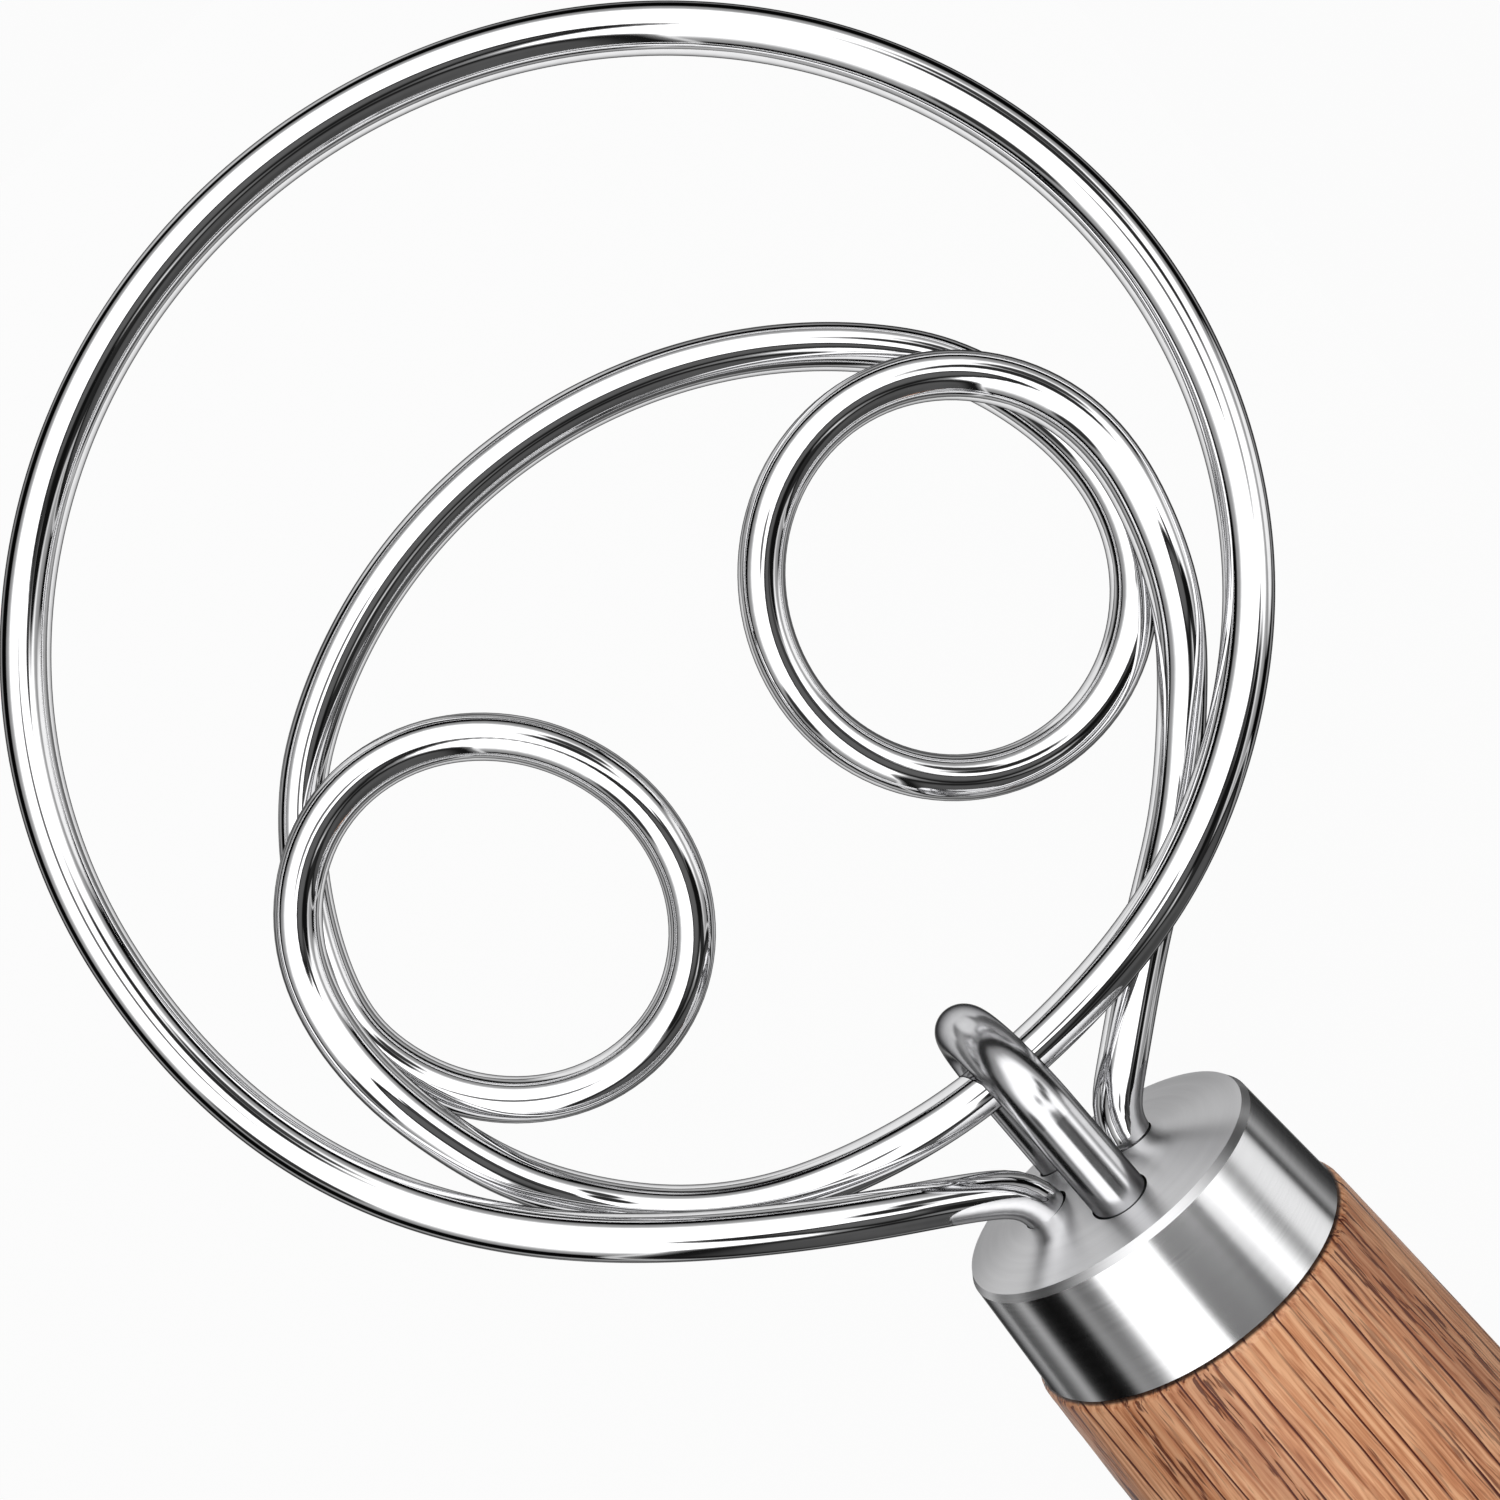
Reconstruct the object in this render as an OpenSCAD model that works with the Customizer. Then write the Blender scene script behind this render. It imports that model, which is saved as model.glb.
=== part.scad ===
// Dough whisk: a bent wire head on a turned wooden handle.
// The handle's axis runs along X, the head lies level in front of it and +Z is up.

/* [Head wire] */
// Diameter of the head wire
wire_d = 4.2; // [3.3:0.1:4.8]
// Distance between the two wire ends where they leave the ferrule
tang_spread = 9.6; // [9.6:0.1:11.6]
// Length of each wire end inside the handle
tang_length = 42; // [20:1:60]
// How far the wire and the staple sit to the left of the handle's axis
head_aside = 0.6; // [-1:0.1:1]
// Radius of the bend in front of each hole
bend_radius = 3.3; // [2.8:0.1:4.5]
// Angle of the bend in front of each hole
bend_turn = 52; // [45:1:60]
// Distance from the ferrule's end face to the start of each bend
bend_start = 0.3; // [0.1:0.1:2]

/* [Outer ring] */
// Distance from the ferrule's end face to the wire's centre at the ring's tip
head_reach = 112.5; // [104:0.1:140]
// Width of the ring between the wire's centres
head_width = 107; // [105:0.5:130]
// Distance from the ferrule's end face to the near end of the ring's oval
ring_start = 11; // [9:0.1:13]
// Turn of the ring's oval
ring_turn = -8; // [-10:1:-5]
// Sideways place of the ring's middle
ring_aside = -0.9; // [-1.5:0.1:0.5]

/* [Inner loop] */
// Distance from the face to the middle of the loop's left arc
left_loop_forward = 45.5; // [44.8:0.1:47]
// Sideways place of the middle of the loop's left arc
left_loop_aside = 8; // [7.5:0.1:8.5]
// Diameter of the loop's left arc
left_loop_d = 66.4; // [65:0.1:67.5]
// Distance from the face to the middle of the loop's right arc
right_loop_forward = 52; // [51:0.1:53]
// Sideways place of the middle of the loop's right arc
right_loop_aside = 2.3; // [1:0.1:4]
// Diameter of the loop's right arc
right_loop_d = 89; // [87.5:0.1:90.5]
// Distance from the face to the wire's centre at the top of the middle arc
arch_reach = 81.5; // [76:0.1:90]
// Length of the middle arc's oval along the handle
arch_length = 81.6; // [76:0.1:90]
// Width of the middle arc's oval
arch_width = 90; // [86:0.5:92]
// Turn of the middle arc's oval
arch_turn = -4; // [-8:1:4]

/* [Eyes] */
// Distance from the face to the middle of the left eye
left_eye_forward = 50.2; // [49:0.1:52]
// Length of the left eye's oval
left_eye_length = 34.8; // [28:0.1:36]
// Width of the left eye's oval
left_eye_width = 31.7; // [26:0.1:33]
// Turn of the left eye's oval
left_eye_turn = 24; // [15:1:30]
// Distance from the face to the middle of the right eye
right_eye_forward = 47.1; // [46.2:0.1:49]
// Length of the right eye's oval
right_eye_length = 35; // [28:0.1:36]
// Width of the right eye's oval
right_eye_width = 33.6; // [27:0.1:35]
// Turn of the right eye's oval
right_eye_turn = -13; // [-20:1:-5]
// Sideways distance of each eye's middle
eye_aside = 24.9; // [23:0.1:25.5]

/* [Staple] */
// Diameter of the staple's wire
staple_d = 5; // [4:0.1:6]
// Distance between the centres of the staple's legs
staple_spread = 15.5; // [14:0.5:18]
// Distance from the face to the centre of the strand under the staple's crown
strand_under = 11.3; // [10:0.1:14]
// Clear space between the staple's crown and that strand
staple_slack = 0.2; // [0.2:0.1:1]
// Length of each staple leg inside the handle
staple_leg = 32; // [15:1:45]

/* [Ferrule] */
// Diameter of the ferrule's wall where its bevel begins
ferrule_front_d = 29.2; // [28:0.1:36]
// Diameter of the ferrule where it meets the wood
ferrule_back_d = 30.6; // [29:0.1:38]
// Length of the ferrule
ferrule_length = 12; // [8:0.1:20]
// Thickness of the ferrule's sheet metal
ferrule_wall = 0.8; // [0.5:0.1:1.2]
// How far the domed end face falls from its middle to its rim
face_crown = 1.3; // [0.5:0.1:2]
// Length of the bevel round the end face, along the handle
bevel_length = 0.6; // [0.3:0.1:1.2]
// Depth of the bevel, square to the handle
bevel_depth = 0.4; // [0.2:0.1:0.8]

/* [Handle] */
// Length of the handle behind the ferrule
handle_length = 213.4; // [180:0.1:260]
// How far the handle's shoulder stands out round the ferrule
shoulder_step = 0.4; // [0.2:0.1:1.5]
// Radius of the shoulder's rounded edge
shoulder_round = 1; // [0.8:0.1:2]
// Diameter of the swell behind the shoulder
swell_d = 34; // [32:0.1:42]
// Distance from the shoulder to the swell
swell_at = 43; // [25:0.5:70]
// Diameter of the narrowest part of the grip
waist_d = 27; // [22:0.1:34]
// Distance from the shoulder to the narrowest part of the grip
waist_at = 141.5; // [90:0.5:150]
// Diameter of the knob at the butt
butt_d = 31; // [24:0.1:38]
// Diameter of the hang hole
hang_hole_d = 6; // [4:0.1:8]
// Distance from the butt's end to the hang hole
hang_hole_inset = 18; // [12:0.5:30]

/* [Fits] */
// Clearance round each wire in the wood
bore_clearance = 0.1; // [0.1:0.01:0.15]
// Clearance round each wire in the ferrule's end face
face_clearance = 0.15; // [0.1:0.05:0.3]
// Clearance between the tenon and the ferrule's face and wall
tenon_clearance = 0.05; // [0.02:0.01:0.1]

/* [Hidden] */
$fn = 96;
wire_sides = 10;
wire_step = 2.8;
measure_step = 1.2;
total_length = head_reach + wire_d / 2 + ferrule_length + handle_length;
face_x = total_length / 2 - head_reach - wire_d / 2;
shoulder_d = ferrule_back_d + 2 * shoulder_step;
axis_z = max(swell_d, shoulder_d, butt_d) / 2;
staple_crown = strand_under + wire_d / 2 + staple_slack + staple_d / 2;
staple_bend = staple_spread / 2;

// Ovals that the wire follows, each [forward, left, length, width, turn]
ring = [(head_reach + ring_start) / 2, ring_aside, head_reach - ring_start, head_width, ring_turn];
// How far the ring's middle lies forward of the place for which its leads' pulls are given: a
// longer ring has longer leads, which stay outside the eyes
ring_shift = ring[0] - 61.75;
left_loop = [left_loop_forward, left_loop_aside, left_loop_d, left_loop_d, 0];
right_loop = [right_loop_forward, right_loop_aside, right_loop_d, right_loop_d, 0];
arch = [arch_reach - arch_length / 2, 0, arch_length, arch_width, arch_turn];
left_eye = [left_eye_forward, eye_aside, left_eye_length, left_eye_width, left_eye_turn];
right_eye = [right_eye_forward, -eye_aside, right_eye_length, right_eye_width, right_eye_turn];
left_bend = [bend_start, tang_spread / 2 + bend_radius, 2 * bend_radius, 2 * bend_radius, 0];
right_bend = [bend_start, -tang_spread / 2 - bend_radius, 2 * bend_radius, 2 * bend_radius, 0];

// Angles on its oval between which the wire keeps to it: it runs clockwise, seen from above
ring_span = [90, -100];
left_loop_span = [160, 104];
left_eye_span = [9, -290];
arch_span = [42, -50];
right_eye_span = [-85, -440];
right_loop_span = [-105, -145];

// A point of an oval at an angle, and a mark: that point with the wire's direction there,
// where way is -1 for clockwise and 1 for the other way round
function unit(v) = v / norm(v);
function turned_by(v, a) = [v[0] * cos(a) - v[1] * sin(a), v[0] * sin(a) + v[1] * cos(a)];
function spot(oval, a) =
    [oval[0], oval[1]] + turned_by([oval[2] * cos(a), oval[3] * sin(a)] / 2, oval[4]);
function mark(oval, a, way = -1) =
    [spot(oval, a), way * unit(turned_by([-oval[2] * sin(a), oval[3] * cos(a)], oval[4]))];

// Points along an oval between the two angles of a span
function arc(oval, span, step) =
    let (turn = span[1] - span[0],
        count = max(4, ceil(PI * (oval[2] + oval[3]) / 4 * abs(turn) / 180 / step)))
    [for (i = [0:count]) spot(oval, span[0] + turn * i / count)];

// Points along a smooth lead from mark a to mark b: a cubic curve that leaves a and reaches b in
// their directions, with its two inner control points the pulls away from them
function lead(a, b, pulls, step) =
    let (near = a[0] + pulls[0] * a[1], far = b[0] - pulls[1] * b[1],
        count = max(4, ceil(norm(b[0] - a[0]) / step)))
    [for (i = [0:count]) let (t = i / count, s = 1 - t)
        s * s * s * a[0] + 3 * s * s * t * near + 3 * s * t * t * far + t * t * t * b[0]];

// Half a cosine wave from a to b while t goes from 0 to 1
function blend(a, b, t) = a + (b - a) * (1 - cos(180 * t)) / 2;

// Height at a share t of a stretch, blended between [share, height] pairs. Heights are in wire
// diameters above the head's middle plane: crossing strands are more than one diameter apart.
function height(pairs, t) =
    let (i = max([for (k = [0:len(pairs) - 2]) pairs[k][0] <= t ? k : 0]), a = pairs[i], b = pairs[i + 1])
    blend(a[1], b[1], (t - a[0]) / (b[0] - a[0]));

// A stretch's points at their heights, without the first, which ends the stretch before
function lifted(points, pairs) =
    let (last = len(points) - 1)
    [for (i = [1:last]) [points[i][0], points[i][1], wire_d * height(pairs, i / last)]];

// The wire's centre line from its left end to its right end
under_staple = [[strand_under, 0], [0, 1]];
left_hole = mark(left_bend, bend_turn - 90, 1);
right_hole = mark(right_bend, 90 - bend_turn, 1);
function route(step) = concat(
    [for (x = [-tang_length, 0, bend_start]) [x, tang_spread / 2, 0]],
    lifted(arc(left_bend, [-90, bend_turn - 90], step), [[0, 0], [1, 0.1]]),
    lifted(lead(left_hole, mark(ring, ring_span[0]), [18, 42 + 1.5 * ring_shift], step),
        [[0, 0.1], [0.22, 0.58], [1, 0.55]]),
    lifted(arc(ring, ring_span, step), [[0, 0.55], [1, 0.55]]),
    lifted(lead(mark(ring, ring_span[1]), under_staple,
            [20 + 2.25 * ring_shift, 26 - 0.2 * ring_shift], step),
        [[0, 0.55], [0.35, 0.68], [0.65, 0.68], [1, 0.05]]),
    lifted(lead(under_staple, mark(left_loop, left_loop_span[0]), [6, 8], step),
        [[0, 0.05], [0.8, -0.43], [1, -0.49]]),
    lifted(arc(left_loop, left_loop_span, step), [[0, -0.49], [0.55, -0.57], [1, 0.08]]),
    lifted(lead(mark(left_loop, left_loop_span[1]), mark(left_eye, left_eye_span[0]), [6, 13], step),
        [[0, 0.08], [0.3, 0.45], [1, 0.5]]),
    lifted(arc(left_eye, left_eye_span, step), [[0, 0.5], [1, -0.7]]),
    lifted(lead(mark(left_eye, left_eye_span[1]), mark(arch, arch_span[0]), [6.5, 8.5], step),
        [[0, -0.7], [1, -0.68]]),
    lifted(arc(arch, arch_span, step), [[0, -0.68], [0.3, -0.6], [1, -0.6]]),
    lifted(lead(mark(arch, arch_span[1]), mark(right_eye, right_eye_span[0]), [4, 8], step),
        [[0, -0.6], [1, -0.65]]),
    lifted(arc(right_eye, right_eye_span, step),
        [[0, -0.65], [0.2, -0.72], [0.8, 0.48], [1, 0.55]]),
    lifted(lead(mark(right_eye, right_eye_span[1]), mark(right_loop, right_loop_span[0]), [2, 2], step),
        [[0, 0.55], [1, 0.5]]),
    lifted(arc(right_loop, right_loop_span, step), [[0, 0.5], [0.15, 0.45], [0.7, -0.52], [1, -0.55]]),
    lifted(lead(mark(right_loop, right_loop_span[1]), right_hole, [3, 4], step),
        [[0, -0.55], [0.3, -0.55], [1, -0.1]]),
    lifted(arc(right_bend, [90 - bend_turn, 90], step), [[0, -0.1], [1, 0]]),
    [for (x = [0, -tang_length]) [x, -tang_spread / 2, 0]]);

centre = route(wire_step);

// Direction of the centre line at a point, and a ring of points square to it
function heading(p, i) = unit(p[min(len(p) - 1, i + 1)] - p[max(0, i - 1)]);
function circle_at(c, dir, r, n) =
    let (side = unit(cross(dir, [0, 0, 1])), top = cross(side, dir))
    [for (k = [0:n - 1]) c + r * (cos(360 * k / n) * side + sin(360 * k / n) * top)];

// A round rod along the points p, closed at both ends
module rod(p, d, n) {
    last = len(p) - 1;
    // The flats are set out so that the rod keeps the round wire's cross section
    r = d / 2 * sqrt(2 * PI / n / sin(360 / n));
    points = [for (i = [0:last]) each circle_at(p[i], heading(p, i), r, n)];
    sides = [for (i = [0:last - 1], k = [0:n - 1])
        let (a = i * n + k, b = i * n + (k + 1) % n)
        each [[a, a + n, b], [b, a + n, b + n]]];
    ends = [for (k = [1:n - 2]) each [[0, k, k + 1], [last * n, last * n + k + 1, last * n + k]]];
    polyhedron(points, concat(sides, ends));
}

// Least gap between strands, over points that are far apart along the wire
function run_lengths(p) = [for (i = 0, s = 0; i < len(p);
    s = i < len(p) - 1 ? s + norm(p[i + 1] - p[i]) : s, i = i + 1) s];
dense = route(measure_step);
dense_at = run_lengths(dense);
strand_gap = min([for (i = [0:len(dense) - 1]) min([for (j = [i:len(dense) - 1])
    dense_at[j] - dense_at[i] > 4 * wire_d ? norm(dense[i] - dense[j]) : 1000])]) - wire_d;
echo(strand_gap = strand_gap, wire_length = dense_at[len(dense) - 1]);

// Everything is drawn from the middle of the ferrule's face, then set over the ground
module in_place(aside = 0) {
    translate([face_x, aside, axis_z]) children();
}

// A round bar along X between two places
module bar(x0, x1, d) {
    translate([x0, 0, 0]) rotate([0, 90, 0]) cylinder(d = d, h = x1 - x0);
}

// The four places where wire goes through the ferrule into the wood
module wire_bores(x0, x1, gap) {
    for (side = [-1, 1]) {
        translate([0, head_aside + side * tang_spread / 2, 0]) bar(x0, x1, wire_d + 2 * gap);
    }
}
module staple_bores(x0, x1, gap) {
    for (side = [-1, 1]) {
        translate([0, head_aside, side * staple_spread / 2]) bar(x0, x1, staple_d + 2 * gap);
    }
}

// A body turned about the X axis from an outline of [x, radius] points
module turned(outline) {
    rotate([0, 90, 0]) rotate_extrude() polygon([for (p = outline) [p[1], p[0]]]);
}

// Outline of the ferrule's outside, or of a surface an inset further in: the domed face falls
// with the square of the distance from the axis, then come the bevel and the wall
function cup(inset) =
    let (rim = ferrule_front_d / 2 - bevel_depth - inset)
    concat([for (t = [0:0.125:1]) [-inset - face_crown * t * t, rim * t]],
        [[-inset - face_crown - bevel_length, rim + bevel_depth],
         [-ferrule_length, ferrule_back_d / 2 - inset]]);

module ferrule() {
    face_back = -ferrule_wall - face_crown - 1;
    color("silver") in_place() difference() {
        turned(concat(cup(0), [[-ferrule_length, 0]]));
        turned(concat(cup(ferrule_wall), [[-ferrule_length - 1, ferrule_back_d / 2 - ferrule_wall],
            [-ferrule_length - 1, 0]]));
        wire_bores(face_back, 1, face_clearance);
        staple_bores(face_back, 1, face_clearance);
    }
}

// Radius of the grip at a distance s behind the shoulder: it swells, narrows to a waist and
// widens to the butt, each time along half a cosine wave
butt_at = handle_length - butt_d / 2;
function grip_r(s) =
    s < swell_at ? blend(2 * shoulder_d - swell_d, swell_d, 0.5 + s / swell_at / 2) / 2 :
    s < waist_at ? blend(swell_d, waist_d, (s - swell_at) / (waist_at - swell_at)) / 2 :
    blend(waist_d, butt_d, (s - waist_at) / (butt_at - waist_at)) / 2;

module handle() {
    shoulder_x = -ferrule_length;
    shoulder = [for (a = [0:15:90]) [shoulder_x - shoulder_round * (1 - cos(a)),
        grip_r(shoulder_round) - shoulder_round * (1 - sin(a))]];
    grip = [for (s = [4:6:butt_at]) [shoulder_x - s, grip_r(s)]];
    butt = [for (a = [0:9:81]) [shoulder_x - butt_at - butt_d / 2 * sin(a), butt_d / 2 * cos(a)]];
    color("peru") in_place() difference() {
        turned(concat(cup(ferrule_wall + tenon_clearance), shoulder, grip, butt,
            [[shoulder_x - handle_length, 0]]));
        wire_bores(-tang_length - 1, 0, bore_clearance);
        staple_bores(-staple_leg - 1, 0, bore_clearance);
        translate([shoulder_x - handle_length + hang_hole_inset, 0, -swell_d])
            cylinder(d = hang_hole_d, h = 2 * swell_d);
    }
}

module whisk_wire() {
    color("gainsboro") in_place(head_aside) rod(centre, wire_d, wire_sides);
}

module staple() {
    crown_x = staple_crown - staple_bend;
    color("lightgray") in_place(head_aside) union() {
        for (side = [-1, 1]) {
            translate([0, 0, side * staple_bend]) bar(-staple_leg, crown_x, staple_d);
        }
        translate([crown_x, 0, 0]) rotate([90, 0, 0]) rotate([0, 0, -90])
            rotate_extrude(angle = 180) translate([staple_bend, 0]) circle(d = staple_d);
    }
}

handle();
ferrule();
whisk_wire();
staple();
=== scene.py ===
import math
import bpy
import numpy as np
from mathutils import Matrix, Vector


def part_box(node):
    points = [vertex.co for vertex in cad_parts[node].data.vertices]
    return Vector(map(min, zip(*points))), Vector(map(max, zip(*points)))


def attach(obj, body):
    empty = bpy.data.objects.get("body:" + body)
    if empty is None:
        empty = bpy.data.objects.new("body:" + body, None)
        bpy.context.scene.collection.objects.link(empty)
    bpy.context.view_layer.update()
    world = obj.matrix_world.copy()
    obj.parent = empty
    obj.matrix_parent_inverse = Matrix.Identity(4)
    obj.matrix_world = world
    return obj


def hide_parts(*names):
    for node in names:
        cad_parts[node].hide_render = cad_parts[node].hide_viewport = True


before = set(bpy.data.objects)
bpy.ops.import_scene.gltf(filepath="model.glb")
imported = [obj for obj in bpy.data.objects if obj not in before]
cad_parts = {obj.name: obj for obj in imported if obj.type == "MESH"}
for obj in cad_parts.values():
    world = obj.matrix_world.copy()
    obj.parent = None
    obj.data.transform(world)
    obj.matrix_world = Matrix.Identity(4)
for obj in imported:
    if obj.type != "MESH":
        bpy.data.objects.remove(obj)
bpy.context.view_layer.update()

# Camera: straight above the flat head, close in, as in the photograph.
# The picture's own middle line meets the head at a point left of and below its centre.
MM = 0.001
PICTURE = 1500.0
PIXELS_PER_MM = 11.4
LENS_PIXELS = 1500.0
MIDDLE_X, MIDDLE_Y = 610.0, 850.0
HANDLE_TURN = math.radians(49.5)
FACE_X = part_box("ferrule")[1][0]
AXIS_Z = 0.5 * (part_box("ferrule")[0][2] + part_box("ferrule")[1][2])
AIM_FORWARD, AIM_LEFT = 48.6 * MM, 14.0 * MM

right = (-math.cos(HANDLE_TURN), -math.sin(HANDLE_TURN), 0.0)
up = (math.sin(HANDLE_TURN), -math.cos(HANDLE_TURN), 0.0)
lens = bpy.data.cameras.new("camera")
lens.sensor_width = 36.0
lens.lens = 36.0 * LENS_PIXELS / PICTURE
lens.shift_x = (PICTURE / 2 - MIDDLE_X) / PICTURE
lens.shift_y = (MIDDLE_Y - PICTURE / 2) / PICTURE
lens.clip_start = 0.005
camera = bpy.data.objects.new("camera", lens)
bpy.context.scene.collection.objects.link(camera)
place = (FACE_X + AIM_FORWARD, AIM_LEFT, AXIS_Z + LENS_PIXELS / PIXELS_PER_MM * MM)
camera.matrix_world = Matrix((
    (right[0], up[0], 0.0, place[0]),
    (right[1], up[1], 0.0, place[1]),
    (0.0, 0.0, 1.0, place[2]),
    (0.0, 0.0, 0.0, 1.0),
))
bpy.context.scene.camera = camera
bpy.context.scene.view_settings.view_transform = "Standard"

# Handle: turned oak, oiled.
# Open-pored wood: each year's growth starts with a thin line of dark pores, which runs along the
# grip, and the oil leaves a soft sheen on the paler, denser wood between.
OAK_PALE = "#F2B88C"
OAK_MID = "#D39066"
OAK_DARK = "#914C28"
OAK_LINE = "#521602"
YEAR_WIDTH = 1.5
PITH_LEFT, PITH_UP = 38.0, 7.0
FIBRE_WIDTH, FIBRE_LENGTH = 0.35, 16.0
PORE_WIDTH, PORE_LENGTH = 0.35, 5.0
JOINT_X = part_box("ferrule")[0][0]
# Width of the painted shade band on the wood at the ferrule joint
GAP_SHADE_WIDTH = 0.35


def colour(code):
    """An sRGB hex code as linear red, green, blue and alpha."""
    part = [int(code[i:i + 2], 16) / 255.0 for i in (1, 3, 5)]
    return [c / 12.92 if c <= 0.04045 else ((c + 0.055) / 1.055) ** 2.4 for c in part] + [1.0]


def material(name):
    """A new material with an empty node tree."""
    made = bpy.data.materials.new(name)
    made.use_nodes = True
    made.node_tree.nodes.clear()
    return made


def add(made, kind, settings=None, stops=None, **links):
    """A node with its settings, with the (place, hex colour) stops of a ramp, and with links or
    values for its sockets. In a socket's name _ stands for a space, and _0 is the first socket."""
    node = made.node_tree.nodes.new(kind)
    for key, value in (settings or {}).items():
        setattr(node, key, value)
    for at, code in (stops or ())[1:-1]:
        node.color_ramp.elements.new(at)
    for point, (at, code) in zip(node.color_ramp.elements if stops else (), stops or ()):
        point.position, point.color = at, colour(code)
    for key, value in links.items():
        socket = node.inputs[int(key[1:])] if key[1:].isdigit() else node.inputs[key.replace("_", " ")]
        if isinstance(value, bpy.types.NodeSocket):
            made.node_tree.links.new(value, socket)
        else:
            socket.default_value = value
    return node


oak = material("oiled_oak")
place_in = add(oak, "ShaderNodeTexCoord").outputs["Object"]
# Slow waves and small waves along the grain bend the lines a little
sway = add(oak, "ShaderNodeMapping", Vector=place_in, Scale=(22.0, 90.0, 90.0)).outputs[0]
sway = add(oak, "ShaderNodeTexNoise", Vector=sway, Scale=1.0, Detail=2.0).outputs["Color"]
sway = add(oak, "ShaderNodeVectorMath", {"operation": "SUBTRACT"}, _0=sway, _1=(0.5, 0.5, 0.5)).outputs[0]
sway = add(oak, "ShaderNodeVectorMath", {"operation": "SCALE"}, _0=sway, Scale=1.6 * MM).outputs[0]
ripple = add(oak, "ShaderNodeMapping", Vector=place_in, Scale=(70.0, 500.0, 500.0)).outputs[0]
ripple = add(oak, "ShaderNodeTexNoise", Vector=ripple, Scale=1.0, Detail=3.0).outputs["Color"]
ripple = add(oak, "ShaderNodeVectorMath", {"operation": "SUBTRACT"}, _0=ripple, _1=(0.5, 0.5, 0.5)).outputs[0]
ripple = add(oak, "ShaderNodeVectorMath", {"operation": "SCALE"}, _0=ripple, Scale=0.5 * MM).outputs[0]
grain_at = add(oak, "ShaderNodeVectorMath", {"operation": "ADD"}, _0=place_in, _1=sway).outputs[0]
line_at = add(oak, "ShaderNodeVectorMath", {"operation": "ADD"}, _0=grain_at, _1=ripple).outputs[0]
# Years lie round the pith of the trunk, a line outside the piece and nearly along it
from_pith = add(oak, "ShaderNodeMapping", {"vector_type": "POINT"}, Vector=line_at,
                Location=(0.0, -PITH_LEFT * MM, -(PITH_UP * MM + AXIS_Z)),
                Rotation=(0.0, 0.01, -0.035), Scale=(0.0, 1.0, 1.0)).outputs[0]
age = add(oak, "ShaderNodeVectorMath", {"operation": "LENGTH"}, _0=from_pith).outputs["Value"]
age = add(oak, "ShaderNodeMath", {"operation": "DIVIDE"}, _0=age, _1=YEAR_WIDTH * MM).outputs[0]
season = add(oak, "ShaderNodeMath", {"operation": "FRACT"}, _0=age).outputs[0]
# Long fibres, from dark to pale
thin = add(oak, "ShaderNodeMapping", Vector=grain_at,
           Scale=(1 / (FIBRE_LENGTH * MM), 1 / (FIBRE_WIDTH * MM), 1 / (FIBRE_WIDTH * MM))).outputs[0]
fibre = add(oak, "ShaderNodeTexNoise", Vector=thin, Scale=1.0, Detail=4.0).outputs["Fac"]
wood = add(oak, "ShaderNodeValToRGB", Fac=fibre,
           stops=[(0.22, OAK_DARK), (0.43, OAK_MID), (0.60, OAK_PALE), (1.0, OAK_PALE)]).outputs["Color"]
# Broad patches of redder and darker wood
patch = add(oak, "ShaderNodeMapping", Vector=grain_at, Scale=(12.0, 120.0, 120.0)).outputs[0]
patch = add(oak, "ShaderNodeTexNoise", Vector=patch, Scale=1.0, Detail=2.0).outputs["Fac"]
red = add(oak, "ShaderNodeMapRange", Value=patch, From_Min=0.46, From_Max=0.64, To_Max=0.5).outputs[0]
wood = add(oak, "ShaderNodeMix", {"data_type": "RGBA"}, Factor=red, _6=wood, _7=colour(OAK_DARK)).outputs[2]
# Pore lines at the start of each year, fading in and out along their length
fade = add(oak, "ShaderNodeMapping", Vector=grain_at, Scale=(60.0, 500.0, 500.0)).outputs[0]
fade = add(oak, "ShaderNodeTexNoise", Vector=fade, Scale=1.0, Detail=2.0).outputs["Fac"]
fade = add(oak, "ShaderNodeMapRange", Value=fade, From_Min=0.38, From_Max=0.52, To_Min=0.15).outputs[0]
line = add(oak, "ShaderNodeMapRange", Value=season, From_Min=0.85, From_Max=0.92).outputs[0]
line = add(oak, "ShaderNodeMath", {"operation": "MULTIPLY"}, _0=line, _1=fade).outputs[0]
# Open pores: dark dashes, crowded in the redder patches
pores = add(oak, "ShaderNodeMapping", Vector=line_at,
            Scale=(1 / (PORE_LENGTH * MM), 1 / (PORE_WIDTH * MM), 1 / (PORE_WIDTH * MM))).outputs[0]
pores = add(oak, "ShaderNodeTexNoise", Vector=pores, Scale=1.0, Detail=2.0).outputs["Fac"]
pores = add(oak, "ShaderNodeMapRange", Value=pores, From_Min=0.55, From_Max=0.61, To_Max=0.85).outputs[0]
crowd = add(oak, "ShaderNodeMapRange", Value=patch, From_Min=0.46, From_Max=0.55, To_Min=0.15).outputs[0]
pores = add(oak, "ShaderNodeMath", {"operation": "MULTIPLY"}, _0=pores, _1=crowd).outputs[0]
dark = add(oak, "ShaderNodeMath", {"operation": "MAXIMUM"}, _0=line, _1=pores).outputs[0]
wood = add(oak, "ShaderNodeMix", {"data_type": "RGBA"}, Factor=dark, _6=wood,
           _7=colour(OAK_LINE)).outputs[2]
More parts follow.
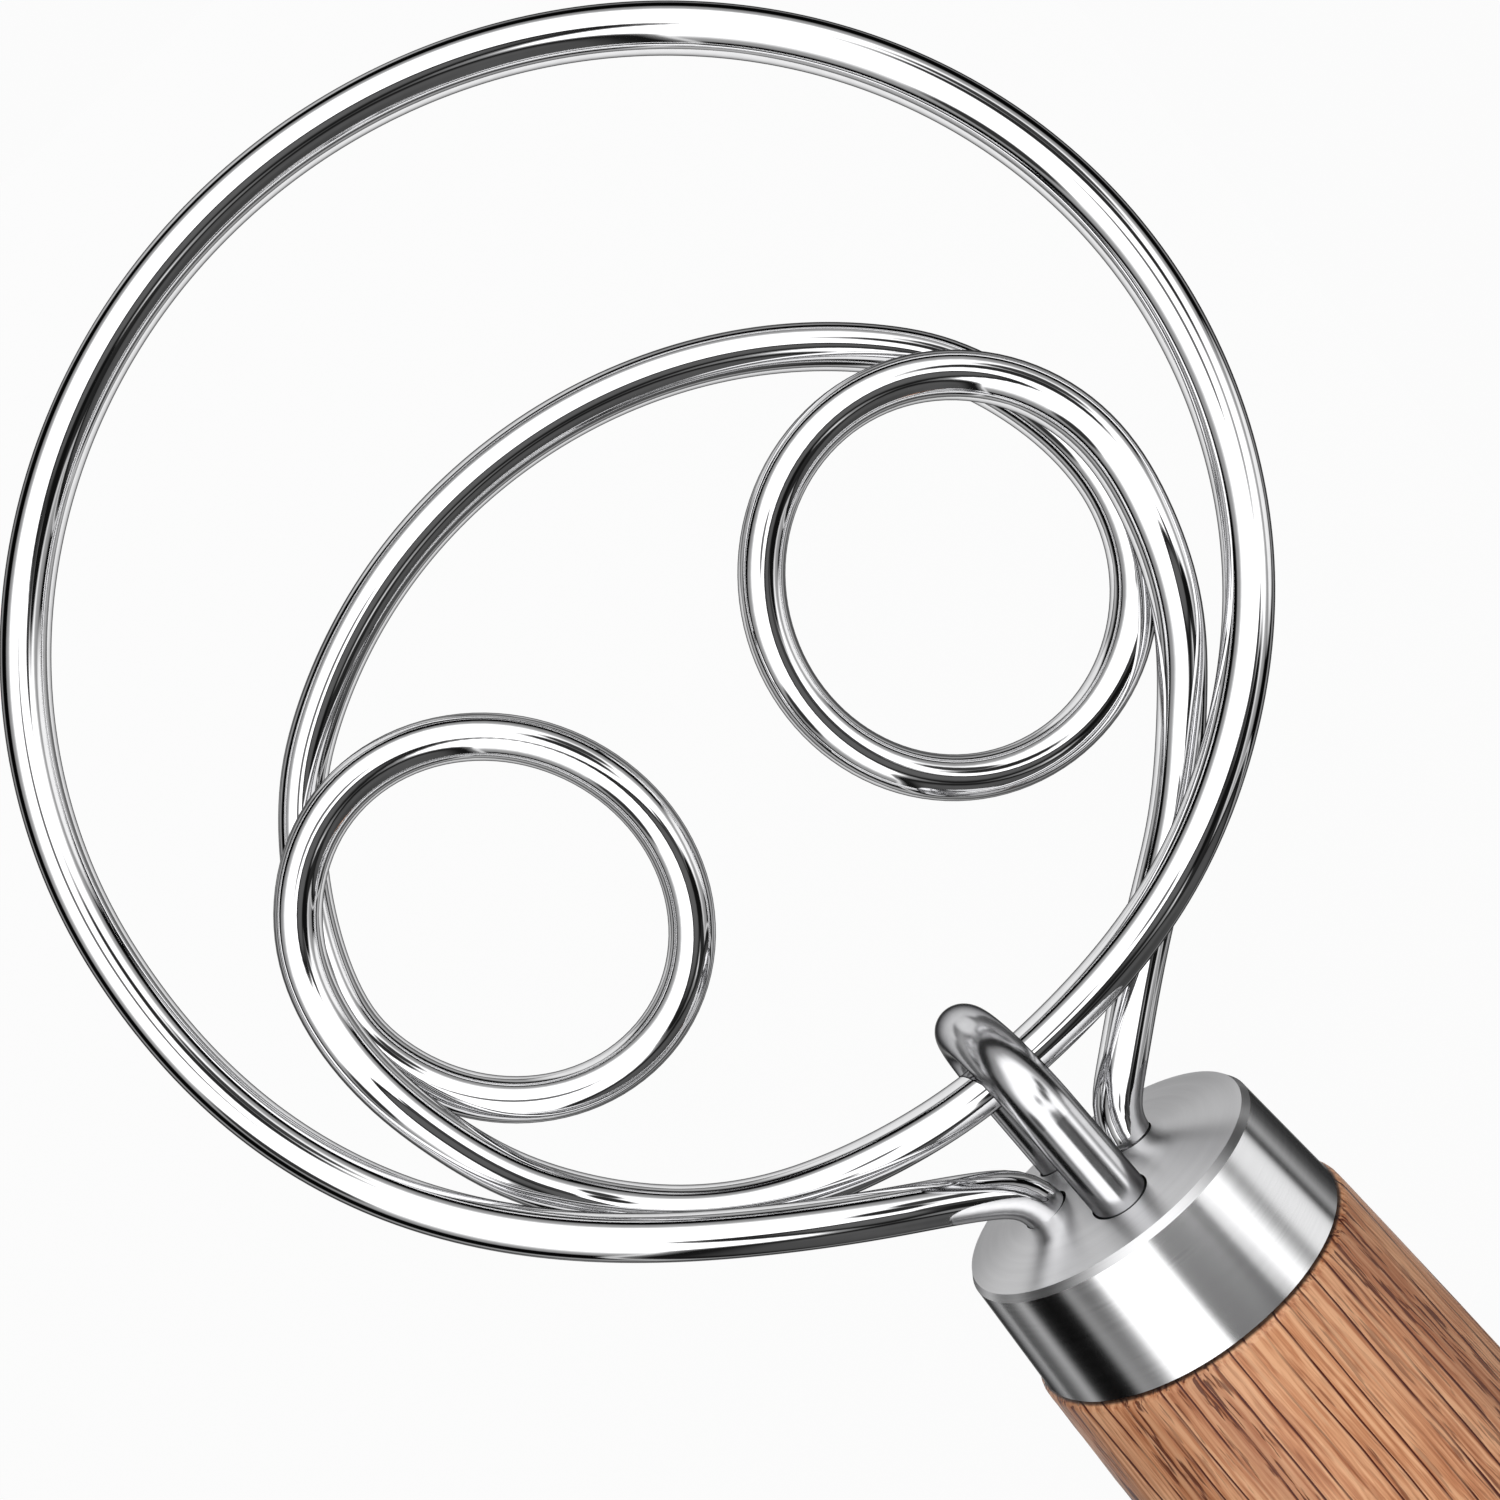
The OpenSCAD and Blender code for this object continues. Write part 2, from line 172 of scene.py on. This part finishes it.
# Painted shade: a thin dark band on the wood against the ferrule stands in for the shadow in the gap at the joint
along = add(oak, "ShaderNodeSeparateXYZ", Vector=place_in).outputs["X"]
gap_shade = add(oak, "ShaderNodeMapRange", Value=along, From_Min=JOINT_X - GAP_SHADE_WIDTH * MM,
            From_Max=JOINT_X - 0.6 * GAP_SHADE_WIDTH * MM, To_Max=0.9).outputs[0]
wood = add(oak, "ShaderNodeMix", {"data_type": "RGBA"}, Factor=gap_shade, _6=wood, _7=colour("#140804")).outputs[2]
depth = add(oak, "ShaderNodeMath", {"operation": "MULTIPLY_ADD"}, _0=dark, _1=-1.0, _2=1.0).outputs[0]
relief = add(oak, "ShaderNodeBump", Strength=0.5, Distance=0.12 * MM, Height=depth).outputs[0]
surface = add(oak, "ShaderNodeBsdfPrincipled", Base_Color=wood, Normal=relief, Roughness=0.42,
              IOR=1.47).outputs[0]
add(oak, "ShaderNodeOutputMaterial", Surface=surface)
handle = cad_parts["handle"]
handle.data.materials.clear()
handle.data.materials.append(oak)

# Ferrule: a cup of thin stainless sheet, drawn, its face spun and its wall brushed round.
# The brush marks run round the axis and stretch its highlights across them: along the wall,
# and from the face's middle to its rim.
BRUSH_WIDTH = 0.10

brushed = material("brushed_stainless_steel")
place_in = add(brushed, "ShaderNodeTexCoord").outputs
lines = add(brushed, "ShaderNodeMapping", Vector=place_in["Object"],
            Scale=(1 / (BRUSH_WIDTH * MM), 60.0, 60.0)).outputs[0]
marks = add(brushed, "ShaderNodeTexNoise", Vector=lines, Scale=1.0, Detail=3.0).outputs["Fac"]
tone = add(brushed, "ShaderNodeValToRGB", Fac=marks, stops=[(0.3, "#F0F0F1"), (0.7, "#F8F8F9")]).outputs["Color"]
# The spun face and its bevel are rougher than the wall
facing = add(brushed, "ShaderNodeSeparateXYZ", Vector=place_in["Normal"]).outputs["X"]
rough = add(brushed, "ShaderNodeMapRange", Value=facing, From_Min=0.15, From_Max=0.45, To_Min=0.17,
            To_Max=0.36).outputs[0]
rough = add(brushed, "ShaderNodeMath", {"operation": "MULTIPLY_ADD"}, _0=marks, _1=0.06, _2=rough).outputs[0]
relief = add(brushed, "ShaderNodeBump", Strength=0.05, Distance=0.01 * MM, Height=marks).outputs[0]
round_axis = add(brushed, "ShaderNodeTangent", {"direction_type": "RADIAL", "axis": "X"}).outputs[0]
surface = add(brushed, "ShaderNodeBsdfPrincipled", Base_Color=tone, Metallic=1.0, Roughness=rough,
              Normal=relief, Anisotropic=0.8, Anisotropic_Rotation=0.25, Tangent=round_axis,
              Specular_Tint=colour("#181818")).outputs[0]
add(brushed, "ShaderNodeOutputMaterial", Surface=surface)
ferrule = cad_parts["ferrule"]
ferrule.data.materials.clear()
ferrule.data.materials.append(brushed)

# Staple: a U of 5 mm stainless wire, bent cold and tumbled to a satin finish.
# Slight unevenness from tumbling breaks up its highlights, and it is dull at a glancing angle.
satin = material("tumbled_stainless_steel")
place_in = add(satin, "ShaderNodeTexCoord").outputs["Object"]
cloud = add(satin, "ShaderNodeTexNoise", Vector=place_in, Scale=600.0, Detail=3.0).outputs["Fac"]
tone = add(satin, "ShaderNodeValToRGB", Fac=cloud, stops=[(0.3, "#D6D6D8"), (0.7, "#E2E2E4")]).outputs["Color"]
rough = add(satin, "ShaderNodeMapRange", Value=cloud, To_Min=0.16, To_Max=0.20).outputs[0]
surface = add(satin, "ShaderNodeBsdfPrincipled", Base_Color=tone, Metallic=1.0, Roughness=rough,
              Specular_Tint=colour("#202020")).outputs[0]
add(satin, "ShaderNodeOutputMaterial", Surface=surface)
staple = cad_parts["staple"]
staple.data.materials.clear()
staple.data.materials.append(satin)

# Whisk wire: one length of 4.2 mm stainless wire, bent cold, bright drawn and polished.
# It leaves the ferrule on the left, makes the ring, dips under the staple and makes both eyes.
WIRE_D = 4.2
WIRE_SIDES = 28
STEP = 1.0
TANG_SPREAD, TANG_LENGTH = 9.6, 42.0
BEND_RADIUS, BEND_TURN, BEND_START = 3.3, 52.0, 0.3
HEAD_ASIDE = 0.6
UNDER_STAPLE = (np.array([11.3, 0.0]), np.array([0.0, 1.0]))

# The ovals that it follows: forward of the ferrule's face, left, length, width and turn
RING = (61.75, -0.9, 101.5, 107.0, -8.0)
LEFT_LOOP = (45.5, 8.0, 66.4, 66.4, 0.0)
RIGHT_LOOP = (52.0, 2.3, 89.0, 89.0, 0.0)
ARCH = (40.7, 0.0, 81.6, 90.0, -4.0)
LEFT_EYE = (50.2, 24.9, 34.8, 31.7, 24.0)
RIGHT_EYE = (47.1, -24.9, 35.0, 33.6, -13.0)
LEFT_BEND = (BEND_START, TANG_SPREAD / 2 + BEND_RADIUS, 2 * BEND_RADIUS, 2 * BEND_RADIUS, 0.0)
RIGHT_BEND = (BEND_START, -TANG_SPREAD / 2 - BEND_RADIUS, 2 * BEND_RADIUS, 2 * BEND_RADIUS, 0.0)


def unit(v):
    """Vectors divided by their lengths."""
    return v / np.linalg.norm(v, axis=-1, keepdims=True)


def turned(x, y, degrees):
    """Points or directions in the plane, turned to the left."""
    c, s = math.cos(math.radians(degrees)), math.sin(math.radians(degrees))
    return np.stack([x * c - y * s, x * s + y * c], axis=-1)


def spot(oval, degrees):
    """Points of an oval at angles: half its length times the cosine, half its width times the
    sine, turned and set at its middle."""
    a = np.radians(degrees)
    return turned(oval[2] / 2 * np.cos(a), oval[3] / 2 * np.sin(a), oval[4]) + oval[:2]


def mark(oval, degrees, way=-1.0):
    """A point of an oval with the wire's direction there: way is -1 for clockwise."""
    a = np.radians(degrees)
    return spot(oval, degrees), way * unit(turned(-oval[2] * np.sin(a), oval[3] * np.cos(a), oval[4]))


def arc(oval, start, end):
    """Points along an oval between two angles."""
    length = math.pi * (oval[2] + oval[3]) / 4 * abs(end - start) / 180
    return spot(oval, np.linspace(start, end, max(8, math.ceil(length / STEP)) + 1))


def lead(a, b, near_pull, far_pull):
    """Points along the cubic curve that leaves mark a and reaches mark b in their directions, with
    its two inner control points the pulls away from them."""
    t = np.linspace(0, 1, max(8, math.ceil(np.linalg.norm(b[0] - a[0]) / STEP)) + 1)[:, None]
    near, far = a[0] + near_pull * a[1], b[0] - far_pull * b[1]
    return (1 - t) ** 3 * a[0] + 3 * (1 - t) ** 2 * t * near + 3 * (1 - t) * t ** 2 * far + t ** 3 * b[0]


def lifted(points, *pairs):
    """The points of a stretch at their heights, without the first. Between (share of the stretch,
    height in wire diameters) pairs the height follows half a cosine wave."""
    t = np.linspace(0, 1, len(points))
    at, high = np.array(pairs).T
    i = np.clip(np.searchsorted(at, t, side="right") - 1, 0, len(at) - 2)
    wave = (1 - np.cos(np.pi * (t - at[i]) / (at[i + 1] - at[i]))) / 2
    return np.column_stack([points, WIRE_D * (high[i] + (high[i + 1] - high[i]) * wave)])[1:]


def eased(values, count):
    """Each value as the mean of itself and its neighbours on both sides, up to count steps away,
    weighted by a raised cosine. Past the ends the values go on as they began."""
    steps = np.arange(1, count + 1)
    weight = np.hanning(2 * count + 3)[1:-1]
    before = values[0] - steps[::-1] * (values[1] - values[0])
    after = values[-1] + steps * (values[-1] - values[-2])
    return np.convolve(np.concatenate([before, values, after]), weight / weight.sum(), "valid")


def rod(name, path, radius, sides):
    """A round rod: at each point of the path a circle square to the path, made from the path's
    level side direction and the direction square to both."""
    ahead = unit(np.gradient(path, axis=0))
    side = unit(np.cross(ahead, [0.0, 0.0, 1.0]))
    top = np.cross(side, ahead)
    angle = 2 * np.pi * np.arange(sides) / sides
    rings = path[:, None] + radius * (np.cos(angle)[None, :, None] * side[:, None]
                                      + np.sin(angle)[None, :, None] * top[:, None])
    count = len(path)
    i, k = np.meshgrid(np.arange(count - 1) * sides, np.arange(sides), indexing="ij")
    n = (k + 1) % sides
    faces = np.stack([i + k, i + sides + k, i + sides + n, i + n], axis=-1).reshape(-1, 4).tolist()
    faces += [list(range(sides)), [(count - 1) * sides + s for s in reversed(range(sides))]]
    mesh = bpy.data.meshes.new(name)
    mesh.from_pydata(rings.reshape(-1, 3), [], faces)
    mesh.polygons.foreach_set("use_smooth", [True] * (len(faces) - 2) + [False] * 2)
    made = bpy.data.objects.new(name, mesh)
    bpy.context.scene.collection.objects.link(made)
    return made


left_hole = mark(LEFT_BEND, BEND_TURN - 90, 1.0)
right_hole = mark(RIGHT_BEND, 90 - BEND_TURN, 1.0)
path = np.vstack([
    [(x, TANG_SPREAD / 2, 0.0) for x in (-TANG_LENGTH, 0.0, BEND_START)],
    lifted(arc(LEFT_BEND, -90, BEND_TURN - 90), (0, 0), (1, 0.1)),
    # The outer ring, from the left hole round the tip to the staple
    lifted(lead(left_hole, mark(RING, 90), 18, 42), (0, 0.1), (0.22, 0.58), (1, 0.55)),
    lifted(arc(RING, 90, -100), (0, 0.55), (1, 0.55)),
    lifted(lead(mark(RING, -100), UNDER_STAPLE, 20, 26), (0, 0.55), (0.35, 0.68), (0.65, 0.68), (1, 0.05)),
    # The left side of the inner loop and the left eye
    lifted(lead(UNDER_STAPLE, mark(LEFT_LOOP, 160), 6, 8), (0, 0.05), (0.8, -0.43), (1, -0.49)),
    lifted(arc(LEFT_LOOP, 160, 104), (0, -0.49), (0.55, -0.57), (1, 0.08)),
    lifted(lead(mark(LEFT_LOOP, 104), mark(LEFT_EYE, 9), 6, 13), (0, 0.08), (0.3, 0.45), (1, 0.5)),
    lifted(arc(LEFT_EYE, 9, -290), (0, 0.5), (1, -0.7)),
    # The middle arc and the right eye
    lifted(lead(mark(LEFT_EYE, -290), mark(ARCH, 42), 6.5, 8.5), (0, -0.7), (1, -0.68)),
    lifted(arc(ARCH, 42, -50), (0, -0.68), (0.3, -0.6), (1, -0.6)),
    lifted(lead(mark(ARCH, -50), mark(RIGHT_EYE, -85), 4, 8), (0, -0.6), (1, -0.65)),
    lifted(arc(RIGHT_EYE, -85, -440), (0, -0.65), (0.2, -0.72), (0.8, 0.48), (1, 0.55)),
    # The right side of the inner loop, back to the right hole
    lifted(lead(mark(RIGHT_EYE, -440), mark(RIGHT_LOOP, -105), 2, 2), (0, 0.55), (1, 0.5)),
    lifted(arc(RIGHT_LOOP, -105, -145), (0, 0.5), (0.15, 0.45), (0.7, -0.52), (1, -0.55)),
    lifted(lead(mark(RIGHT_LOOP, -145), right_hole, 3, 4), (0, -0.55), (0.3, -0.55), (1, -0.1)),
    lifted(arc(RIGHT_BEND, 90 - BEND_TURN, 90), (0, -0.1), (1, 0)),
    [(x, -TANG_SPREAD / 2, 0.0) for x in (0.0, -TANG_LENGTH)],
]) * MM + np.array([FACE_X, HEAD_ASIDE * MM, AXIS_Z])
# Bent wire has no sudden change of curve: the path is laid in even steps, and each point moves to
# the weighted mean of its neighbours, fewer of them in the plane than up and down
run = np.append(0, np.cumsum(np.linalg.norm(np.diff(path, axis=0), axis=1)))
even = np.linspace(0, run[-1], math.ceil(run[-1] / (STEP * MM)) + 1)
path = np.column_stack([eased(np.interp(even, run, path[:, i]), count) for i, count in enumerate((3, 3, 8))])
wire = rod("polished_wire", path, WIRE_D / 2 * MM, WIRE_SIDES)
polished = material("polished_stainless_wire")
place_in = add(polished, "ShaderNodeTexCoord").outputs["Object"]
draw = add(polished, "ShaderNodeTexNoise", Vector=place_in, Scale=900.0, Detail=2.0).outputs["Fac"]
tone = add(polished, "ShaderNodeValToRGB", Fac=draw, stops=[(0.3, "#F1F1F2"), (0.7, "#F7F7F8")]).outputs["Color"]
rough = add(polished, "ShaderNodeMapRange", Value=draw, To_Min=0.03, To_Max=0.05).outputs[0]
# Drawn wire is less bright where it is seen at a glancing angle
surface = add(polished, "ShaderNodeBsdfPrincipled", Base_Color=tone, Metallic=1.0, Roughness=rough,
              Specular_Tint=colour("#404040")).outputs[0]
add(polished, "ShaderNodeOutputMaterial", Surface=surface)
wire.data.materials.append(polished)
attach(wire, "root")
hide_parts("whisk_wire")

# Floor and studio: the whisk hangs over a white table, in a white tent with black cloths.
# The tent ends a little above the table on all sides, and a tall cloth closes it behind the handle.
TABLE_DROP = 250.0
TABLE_SIZE = 480.0

reach = TABLE_SIZE / 2 * MM
mesh = bpy.data.meshes.new("table")
mesh.from_pydata([(place[0] + sx * reach, place[1] + sy * reach, -TABLE_DROP * MM)
                  for sx, sy in ((-1, -1), (1, -1), (1, 1), (-1, 1))], [], [(0, 1, 2, 3)])
floor = bpy.data.objects.new("table", mesh)
bpy.context.scene.collection.objects.link(floor)
paper = material("white_paper")
ray = add(paper, "ShaderNodeLightPath").outputs
plain = add(paper, "ShaderNodeBsdfDiffuse", Color=colour("#EBEBEB")).outputs[0]
white = add(paper, "ShaderNodeEmission", Color=(1, 1, 1, 1), Strength=1.0).outputs[0]
amount = add(paper, "ShaderNodeMath", {"operation": "MAXIMUM"}, _0=ray["Is Camera Ray"], _1=ray["Is Glossy Ray"])
amount = add(paper, "ShaderNodeMath", {"operation": "MAXIMUM"}, _0=amount.outputs[0],
             _1=ray["Is Transmission Ray"])
amount = add(paper, "ShaderNodeMath", {"operation": "MULTIPLY"}, _0=amount.outputs[0], _1=0.9)
shown = add(paper, "ShaderNodeMixShader", Fac=amount.outputs[0], _1=plain, _2=white).outputs[0]
add(paper, "ShaderNodeOutputMaterial", Surface=shown)
floor.data.materials.append(paper)

studio = bpy.data.worlds.new("studio")
bpy.context.scene.world = studio
studio.use_nodes = True
studio.node_tree.nodes.clear()
looking = add(studio, "ShaderNodeTexCoord").outputs["Generated"]
# The cloths' edges wave a little
wave = add(studio, "ShaderNodeTexNoise", Vector=looking, Scale=1.3, Detail=0.0).outputs["Color"]
wave = add(studio, "ShaderNodeVectorMath", {"operation": "SUBTRACT"}, _0=wave, _1=(0.5, 0.5, 0.5)).outputs[0]
wave = add(studio, "ShaderNodeVectorMath", {"operation": "SCALE"}, _0=wave, Scale=0.25).outputs[0]
towards = add(studio, "ShaderNodeVectorMath", {"operation": "ADD"}, _0=looking, _1=wave).outputs[0]
part = add(studio, "ShaderNodeSeparateXYZ", Vector=towards).outputs
# The tent's side, from under the table (0) over the horizon (0.5) to the top (1)
level = add(studio, "ShaderNodeMath", {"operation": "MULTIPLY_ADD"}, _0=part["Z"], _1=0.5, _2=0.5).outputs[0]
tent = add(studio, "ShaderNodeValToRGB", Fac=level,
           stops=[(0.0, "#6A6A6A"), (0.22, "#6A6A6A"), (0.31, "#B4B4B4"), (0.385, "#181818"), (0.44, "#060606"),
                  (0.53, "#050505"), (0.60, "#0A0A0A"), (0.64, "#8C8C8C"), (0.72, "#A0A0A0"),
                  (0.80, "#FFFFFF"), (1.0, "#FFFFFF")]).outputs["Color"]
# The tall cloth behind the handle: its edge lies where the handle-ward share passes a limit,
# which falls towards the top
high = add(studio, "ShaderNodeMath", {"operation": "SUBTRACT"}, _0=part["Z"], _1=0.47).outputs[0]
high = add(studio, "ShaderNodeMath", {"operation": "MAXIMUM"}, _0=high, _1=0.0).outputs[0]
high = add(studio, "ShaderNodeMath", {"operation": "POWER"}, _0=high, _1=2.67).outputs[0]
behind = add(studio, "ShaderNodeMath", {"operation": "MULTIPLY_ADD"}, _0=high, _1=3.0, _2=-0.72).outputs[0]
behind = add(studio, "ShaderNodeMath", {"operation": "SUBTRACT"}, _0=behind, _1=part["X"]).outputs[0]
cloth = add(studio, "ShaderNodeValToRGB", Fac=behind,
            stops=[(0.0, "#FFFFFF"), (0.015, "#787878"), (0.035, "#121212"), (0.06, "#1A1A1A"),
                   (0.10, "#484848"), (0.20, "#505050"), (0.30, "#404040")]).outputs["Color"]
under = add(studio, "ShaderNodeMapRange", Value=part["Z"], From_Min=-0.44, From_Max=-0.34).outputs[0]
there = add(studio, "ShaderNodeMapRange", Value=behind, From_Min=-0.01, From_Max=0.01).outputs[0]
there = add(studio, "ShaderNodeMath", {"operation": "MULTIPLY"}, _0=there, _1=under).outputs[0]
tent = add(studio, "ShaderNodeMix", {"data_type": "RGBA"}, Factor=there, _6=tent, _7=cloth).outputs[2]
# Round dark flags and white cards: azimuth, elevation and half-width in degrees
for azimuth, elevation, half, shade in ((-75, 61, 9, "#202020"), (-72, 45, 9, "#303030"),
                                        (102, 29, 10, "#303030"), (35, 80, 5, "#585858"),
                                        (-137, 47, 13, "#0C0C0C"), (-152, 38, 10, "#202020"),
                                        (-120, 60, 6, "#303030"), (-112, 6, 14, "#F4F4F4"),
                                        (-5, -28, 20, "#E8E8E8")):
    a, e, h = (math.radians(d) for d in (azimuth, elevation, half))
    middle = (math.cos(e) * math.cos(a), math.cos(e) * math.sin(a), math.sin(e))
    near = add(studio, "ShaderNodeVectorMath", {"operation": "DOT_PRODUCT"}, _0=looking, _1=middle).outputs["Value"]
    near = add(studio, "ShaderNodeMapRange", Value=near, From_Min=math.cos(h * 1.15),
               From_Max=math.cos(h * 0.75)).outputs[0]
    tent = add(studio, "ShaderNodeMix", {"data_type": "RGBA"}, Factor=near, _6=tent,
               _7=colour(shade)).outputs[2]
camera_ray = add(studio, "ShaderNodeLightPath").outputs["Is Camera Ray"]
seen = add(studio, "ShaderNodeMix", {"data_type": "RGBA"}, Factor=camera_ray, _6=tent,
           _7=(0.88, 0.88, 0.88, 1.0)).outputs[2]
# The lamps stand above the tent, so its top is the brightest
strength = add(studio, "ShaderNodeMapRange", Value=part["Z"], From_Min=0.5, From_Max=0.7, To_Min=1.1,
               To_Max=1.6).outputs[0]
glow = add(studio, "ShaderNodeBackground", Color=seen, Strength=strength).outputs[0]
add(studio, "ShaderNodeOutputWorld", Surface=glow)
